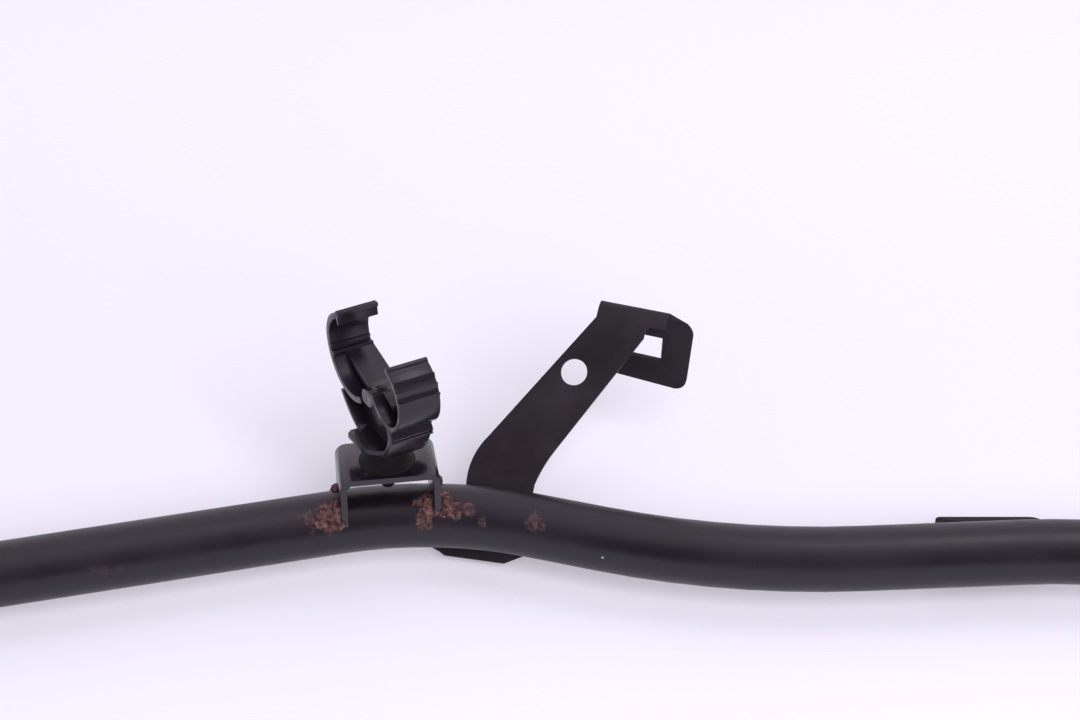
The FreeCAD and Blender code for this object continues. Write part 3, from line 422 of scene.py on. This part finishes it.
def join_pieces(pieces, name):
    """Join meshes into the first one and name it."""
    bpy.ops.object.select_all(action="DESELECT")
    for piece in pieces:
        piece.select_set(True)
    bpy.context.view_layer.objects.active = pieces[0]
    bpy.ops.object.join()
    joined = bpy.context.object
    joined.name = name
    joined.data.name = name
    return joined


# The clip bracket sits on the bar's crest, turned with it; angles run from the back over the top.
seat_turn = math.radians(8.5)
seat = Vector((-0.0470, 0.0473, 0.020))
seat_along = Vector((math.cos(seat_turn), math.sin(seat_turn), 0))
seat_across = Vector((-math.sin(seat_turn), math.cos(seat_turn), 0))
bar_radius = 0.010
half_seat = 0.0154
clip_beads = []
for index, (offset, size, first, last) in enumerate((
    (-half_seat - 0.0014, 0.0023, 112, 150), (-half_seat - 0.0006, 0.0016, 26, 62),
    (half_seat + 0.0014, 0.0021, 110, 144), (half_seat + 0.0006, 0.0016, 26, 62),
    (half_seat - 0.0036, 0.0019, 116, 148), (-half_seat + 0.0026, 0.0013, 30, 58),
)):
    path = []
    steps = max(3, int(abs(last - first) / 9))
    for step in range(steps + 1):
        angle = math.radians(first + (last - first) * step / steps)
        reach = bar_radius + size * 0.1
        path.append(seat + seat_along * offset + seat_across * (reach * math.cos(angle))
                    + Vector((0, 0, reach * math.sin(angle))))
    clip_beads.append(weld_bead("bead", path, size, 40 + index))


def finish_welds(beads, name, cad_name, material):
    """Join one bracket's beads and paint them."""
    welds = join_pieces(beads, name)
    welds.data.materials.clear()
    welds.data.materials.append(material)
    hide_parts(cad_name)
    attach(welds, "bar")


finish_welds(clip_beads, "clip_bracket_beads", "clip_bracket_welds", weld_finish)

# The strap leans back and just clears the bar along one line; its beads run above and below it.
strap_turn = math.radians(-9)
strap_lean = math.radians(40)
strap_x = Vector((math.cos(strap_turn), math.sin(strap_turn), 0))
strap_n = Vector((math.sin(strap_turn) * math.cos(strap_lean),
                  -math.cos(strap_turn) * math.cos(strap_lean), math.sin(strap_lean)))
strap_y = strap_n.cross(strap_x)
strap_gap = 0.00035
bead_steps = 6
strap_touch = Vector((-0.0109, 0.0451, 0.020)) - strap_n * (bar_radius + strap_gap)
strap_beads = []
for index, (start, end, rise, size) in enumerate((
    (-0.0130, -0.0060, 0.0053, 0.0016), (-0.0032, 0.0036, 0.0052, 0.0015),
    (-0.0190, -0.0105, -0.0054, 0.0017), (-0.0076, 0.0024, -0.0052, 0.0016),
)):
    line = strap_touch + strap_y * rise + strap_n * 0.0010
    path = [line + strap_x * (start + (end - start) * step / bead_steps) for step in range(bead_steps + 1)]
    strap_beads.append(weld_bead("bead", path, size, 60 + index))
finish_welds(strap_beads, "strap_bracket_beads", "strap_bracket_welds", dull_weld)

# The rear tab is welded along its root, twice on top and once below.
low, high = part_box("rear_tab_welds")
tab_beads = []
for seed, start, end, root, level in (
    (80, 0.1265, 0.136, low[1] + 0.0012, high[2] - 0.0013),
    (81, 0.147, 0.157, low[1] + 0.0019, high[2] - 0.0013),
    (83, 0.128, 0.139, low[1] + 0.0011, low[2] + 0.0013),
):
    path = [Vector((start + (end - start) * step / bead_steps, root, level))
            for step in range(bead_steps + 1)]
    tab_beads.append(weld_bead("bead", path, 0.0015, seed))
finish_welds(tab_beads, "rear_tab_beads", "rear_tab_welds", dull_weld)

# ------------------------------------------------------------------ strap bracket and rear tab
# 2 mm strip, blanked, punched and folded over at the top; 3 mm tab with one hole.
# Both wear a thin matt black coat, and their sheared edges are a little rounded.
strap_paint = paint("matt_black_strap", (0.0205, 0.0166, 0.0205), 0.55, tooth=0.8, drift=0.28, gloss=0.16,
                    peel=0.00010)
softened("folded_strap", "strap_bracket", strap_paint, 0.00035)
softened("rear_tab", "rear_tab_bracket", strap_paint, 0.0004)

# ------------------------------------------------------------------ hose clip
# Moulded dark grey nylon in two pieces on a hinge pin, with a fine mould texture that holds
# pale dust. The skirt under the plate is duller, and painted shade darkens its colour.


def plastic(name, colour, rough, skirt_top=None):
    """Moulded plastic with dust in its texture; under skirt_top it is duller, with painted shade."""
    made, tree, shader = start_material(name)
    skin = use(tree, grain, Broad=520.0, Fine=5200.0, Tooth=0.7)
    base = blend_colour(tree, (skin, "Drift"), shaded(colour, 0.85), shaded(colour, 1.15))
    coords = (tree.nodes.new("ShaderNodeTexCoord"), "Object")
    dust = noise(tree, coords, 300, 6, 0.75)
    dusty = spread(tree, (dust, 0), 0.60, 0.78, 0.0, 0.35)
    base = blend_colour(tree, dusty, base, tuple(min(1, c * 2.6 + 0.02) for c in colour))
    grit = use(tree, specks, Scale=330.0, Share=0.03, Size=0.10)
    base = blend_colour(tree, (grit, "Mask"), base, tuple(min(1, c * 1.5 + 0.10) for c in colour))
    if skirt_top is not None:
        parts = tree.nodes.new("ShaderNodeSeparateXYZ")
        tree.links.new(coords[0].outputs["Object"], parts.inputs["Vector"])
        # painted shade: under skirt_top the colour drops to a fifth, standing for the flange's shadow on the
        # skirt; the roughness rises too
        painted_shade_and_dull = spread(tree, (parts, "Z"), skirt_top + 0.0004, skirt_top - 0.0006)
        base = blend_colour(tree, painted_shade_and_dull, base, shaded(colour, 0.2))
    level = spread(tree, (skin, "Drift"), 0, 1, rough - 0.05, rough + 0.07)
    if skirt_top is not None:
        level = math_node(tree, "MULTIPLY_ADD", painted_shade_and_dull, 0.5, level)
    feed(tree, base, shader, "Base Color")
    feed(tree, level, shader, "Roughness")
    bump(tree, shader, (skin, "Height"), 0.00006, 0.6)
    return made


clip_plastic = plastic("dark_nylon", (0.0120, 0.0092, 0.0140), 0.19, skirt_top=0.0501)
softened("clip_body_moulding", "hose_clip_body", clip_plastic, 0.00022)
softened("clip_lid_moulding", "clip_lid", clip_plastic, 0.00022)

# ------------------------------------------------------------------ bushes, saddles, stop rings
# Moulded natural rubber with a grey bloom; zinc plated pressed straps; plain split rings
# crimped on the bar.


def rubber(name, colour):
    """Moulded rubber with a grey bloom."""
    made, tree, shader = start_material(name)
    skin = use(tree, grain, Broad=420.0, Fine=3000.0, Tooth=1.0)
    coords = (tree.nodes.new("ShaderNodeTexCoord"), "Object")
    bloom = spread(tree, (noise(tree, coords, 70, 5, 0.7), 0), 0.5, 0.75, 0, 0.5)
    base = blend_colour(tree, (skin, "Drift"), shaded(colour, 0.8), shaded(colour, 1.25))
    base = blend_colour(tree, bloom, base, (0.05, 0.05, 0.052))
    feed(tree, base, shader, "Base Color")
    feed(tree, spread(tree, (skin, "Drift"), 0, 1, 0.62, 0.78), shader, "Roughness")
    bump(tree, shader, (skin, "Height"), 0.00015, 0.6)
    return made


def plated(name, colour, rough=0.32, stain=(0.20, 0.19, 0.16)):
    """Plated or bare metal with cloudy stains."""
    made, tree, shader = start_material(name)
    skin = use(tree, grain, Broad=160.0, Fine=2400.0, Tooth=0.5)
    coords = (tree.nodes.new("ShaderNodeTexCoord"), "Object")
    cloudy = spread(tree, (noise(tree, coords, 120, 5, 0.65), 0), 0.42, 0.74)
    base = blend_colour(tree, (skin, "Drift"), shaded(colour, 0.86), colour)
    base = blend_colour(tree, math_node(tree, "MULTIPLY", cloudy, 0.45), base, stain)
    feed(tree, base, shader, "Base Color")
    feed(tree, spread(tree, cloudy, 0, 1, rough, rough + 0.2), shader, "Roughness")
    shader.inputs["Metallic"].default_value = 0.95
    bump(tree, shader, (skin, "Height"), 0.00008, 0.5)
    return made


black_rubber = rubber("moulded_rubber", (0.018, 0.018, 0.019))
zinc = plated("zinc_plate", (0.60, 0.60, 0.57))
bare_aluminium = plated("turned_aluminium", (0.68, 0.68, 0.69), 0.28, (0.42, 0.42, 0.43))
for side in ("left", "right"):
    softened(side + "_rubber_bush", side + "_bush", black_rubber, 0.0008, 3)
    softened(side + "_pressed_saddle", side + "_saddle", zinc, 0.0006)
    softened(side + "_split_ring", side + "_stop_ring", bare_aluminium, 0.0004)

# ------------------------------------------------------------------ drop links
# Forged and welded link with a ball joint at each end: black electrocoated housings and rod,
# pressed caps, acetal seats, rubber boots held by wire rings, zinc plated studs and nuts.
link_coat = paint("black_electrocoat", (0.014, 0.013, 0.015), 0.34, coat=0.1, tooth=0.5)
ring_steel = plated("spring_wire", (0.50, 0.50, 0.50), 0.30, (0.22, 0.20, 0.17))
acetal = plastic("white_acetal", (0.72, 0.70, 0.64), 0.35)
stud_y = 0.190
stud_levels = {"lower": 0.020, "upper": 0.130}
collar_face = 0.444
shank_reach = 0.0052
thread_pitch = 0.0015
thread_root = 0.88
ridge_size = 0.0008
ridge_radius = 0.00455
steps_per_turn = 36


def bellows(name, cad_name, flexes):
    """Rubber boot from the housing's nose to the stud's neck; a boot that flexes is left unattached."""
    piece = merged_copy(name, cad_name)
    bpy.ops.mesh.tris_convert_to_quads()
    bpy.ops.mesh.subdivide(number_cuts=1)
    bpy.ops.object.mode_set(mode="OBJECT")
    bpy.ops.object.shade_smooth_by_angle(angle=math.radians(40))
    piece.data.materials.clear()
    piece.data.materials.append(black_rubber)
    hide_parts(cad_name)
    if flexes:
        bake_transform(piece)
    else:
        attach(piece, frame["nodes"][cad_name]["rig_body"])


def threaded_stud(name, cad_name, way, height):
    """Ball stud whose shank is cut down to the thread's root and wound with a rolled thread."""
    low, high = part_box(cad_name)
    tip = low[0] if way > 0 else -high[0]
    stud = merged_copy(name, cad_name)
    bpy.ops.mesh.select_all(action="DESELECT")
    bpy.ops.object.mode_set(mode="OBJECT")
    for corner in stud.data.vertices:
        off_axis = math.hypot(corner.co.y - stud_y, corner.co.z - height)
        corner.select = way * corner.co.x < collar_face + 0.00001 and off_axis < shank_reach
    bpy.ops.object.mode_set(mode="EDIT")
    bpy.ops.transform.resize(value=(1, thread_root, thread_root), center_override=(way * tip, stud_y, height))
    bpy.ops.mesh.select_all(action="SELECT")
    bpy.ops.mesh.dissolve_limited(angle_limit=same_plane)
    bpy.ops.object.mode_set(mode="OBJECT")
    bpy.ops.mesh.customdata_custom_splitnormals_clear()
    bpy.ops.object.shade_smooth_by_angle(angle=math.radians(30))
    stud.data.materials.clear()
    # one flank-to-flank triangle, wound along the shank at the world's origin and then moved out
    bpy.ops.object.select_all(action="DESELECT")
    bpy.ops.mesh.primitive_circle_add(vertices=3, radius=ridge_size, location=(0, 0, 0))
    ridge = bpy.context.object
    bpy.ops.object.mode_set(mode="EDIT")
    bpy.ops.mesh.select_all(action="SELECT")
    bpy.ops.transform.resize(value=(1, 0.55, 1), center_override=(0, 0, 0))
    bpy.ops.transform.translate(value=(0, ridge_radius, 0))
    bpy.ops.object.mode_set(mode="OBJECT")
    winding = ridge.modifiers.new("winding", "SCREW")
    winding.axis = "X"
    winding.angle = 2 * math.pi
    winding.steps = steps_per_turn
    winding.render_steps = steps_per_turn
    winding.iterations = int((collar_face - 0.0015 - tip - 0.0010) / thread_pitch)
    winding.screw_offset = thread_pitch
    bpy.ops.object.modifier_apply(modifier=winding.name)
    bpy.ops.object.mode_set(mode="EDIT")
    bpy.ops.mesh.select_all(action="SELECT")
    bpy.ops.mesh.remove_doubles(threshold=same_point)
    bpy.ops.mesh.fill_holes(sides=4)
    bpy.ops.mesh.normals_make_consistent(inside=False)
    bpy.ops.object.mode_set(mode="OBJECT")
    start = tip + 0.0012 if way > 0 else -collar_face + 0.0022
    ridge.location = (start, stud_y, height)
    bpy.ops.object.transform_apply(location=True, rotation=True, scale=True)
    bpy.ops.object.shade_smooth_by_angle(angle=math.radians(30))
    piece = join_pieces([stud, ridge], name)
    piece.data.materials.clear()
    piece.data.materials.append(zinc)
    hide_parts(cad_name)
    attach(piece, frame["nodes"][cad_name]["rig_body"])


for side, way in (("left", -1), ("right", 1)):
    softened(side + "_rod", side + "_link_rod", link_coat, 0.0003)
    softened(side + "_nut", side + "_lower_nut", zinc, 0.0005)
    for level, height in stud_levels.items():
        stem = side + "_" + level + "_"
        softened(stem + "cup", stem + "housing", link_coat, 0.0003)
        softened(stem + "cover", stem + "housing_cap", link_coat, 0.0003)
        dress(stem + "ball_seat", acetal)
        bellows(stem + "bellows", stem + "boot", level == "upper")
        dress(stem + "boot_clamp", ring_steel)
        dress(stem + "boot_neck_ring", ring_steel)
        threaded_stud(stem + "threaded_stud", stem + "ball_stud", way, height)

# ------------------------------------------------------------------ floor, light and camera
# White seamless paper in a room that is bright overhead and behind and dim in front. A broad
# soft lamp from the front lights the paper, so the shadow tucks in under the bar.
floor_paper, tree, shader = start_material("white_paper")
shader.inputs["Base Color"].default_value = (0.792, 0.797, 0.855, 1)
shader.inputs["Roughness"].default_value = 0.9
shader.inputs["Specular IOR Level"].default_value = 0.0
glow = node(tree, "ShaderNodeEmission", Color=(0.955, 0.925, 1.0, 1), Strength=0.0)
seen = tree.nodes.new("ShaderNodeLightPath")
where = tree.nodes.new("ShaderNodeTexCoord")
parts = tree.nodes.new("ShaderNodeSeparateXYZ")
wire(tree, where, "Object", parts, "Vector")
farther = spread(tree, (parts, "Y"), 0.05, 0.45, 0.17, 0.30)
lift = math_node(tree, "MULTIPLY", (seen, "Is Camera Ray"), farther)
tree.links.new(lift[0].outputs[0], glow.inputs["Strength"])
both = tree.nodes.new("ShaderNodeAddShader")
tree.links.new(shader.outputs[0], both.inputs[0])
tree.links.new(glow.outputs[0], both.inputs[1])
tree.links.new(both.outputs[0], tree.nodes["Material Output"].inputs["Surface"])
bpy.ops.object.select_all(action="DESELECT")
bpy.ops.mesh.primitive_plane_add(size=12, location=(0, 0, -0.0005))
floor = bpy.context.object
floor.name = "paper_floor"
floor.data.materials.append(floor_paper)

world = bpy.data.worlds.new("soft_room")
bpy.context.scene.world = world
world.use_nodes = True
sky = world.node_tree
back = sky.nodes["Background"]
back.inputs["Color"].default_value = (0.965, 0.885, 1.0, 1)
facing = sky.nodes.new("ShaderNodeTexCoord")
overhead = sky.nodes.new("ShaderNodeVectorMath")
overhead.operation = "DOT_PRODUCT"
sky.links.new(facing.outputs["Generated"], overhead.inputs[0])
overhead.inputs[1].default_value = (0.0, 0.5, 0.866)
room = spread(sky, (overhead, "Value"), 0.12, 0.68, 0.20, 0.92)
seen = sky.nodes.new("ShaderNodeLightPath")
dim = math_node(sky, "MAXIMUM", (seen, "Is Camera Ray"), 0.46)
strength = math_node(sky, "MULTIPLY_ADD", (seen, "Is Glossy Ray"), math_node(sky, "SUBTRACT", room, dim), dim)
sky.links.new(strength[0].outputs[0], back.inputs["Strength"])

for name, place, aim, size, power, mirrored in (
    ("paper_softbox", (0.45, -1.30, 1.20), (0, 0.10, 0), 1.1, 30, False),
    ("overhead_softbox", (0.55, 0.05, 1.5), (0.05, 0.03, 0), 0.8, 2.5, True),
):
    bpy.ops.object.light_add(type="AREA", location=place)
    lamp = bpy.context.object
    lamp.name = name
    lamp.data.shape = "DISK"
    lamp.data.size = size
    lamp.data.energy = power
    lamp.data.color = (0.98, 0.93, 1.0)
    lamp.visible_glossy = mirrored
    lamp.rotation_euler = (Vector(aim) - Vector(place)).to_track_quat("-Z", "Y").to_euler()

bpy.ops.object.camera_add(location=(0, -0.60617, 0.52494), rotation=(math.radians(55.7), 0, 0))
camera = bpy.context.object
camera.data.sensor_width = 36
camera.data.lens = 88
camera.data.clip_start = 0.01
camera.data.clip_end = 30
bpy.context.scene.camera = camera
bpy.context.scene.view_settings.view_transform = "Standard"
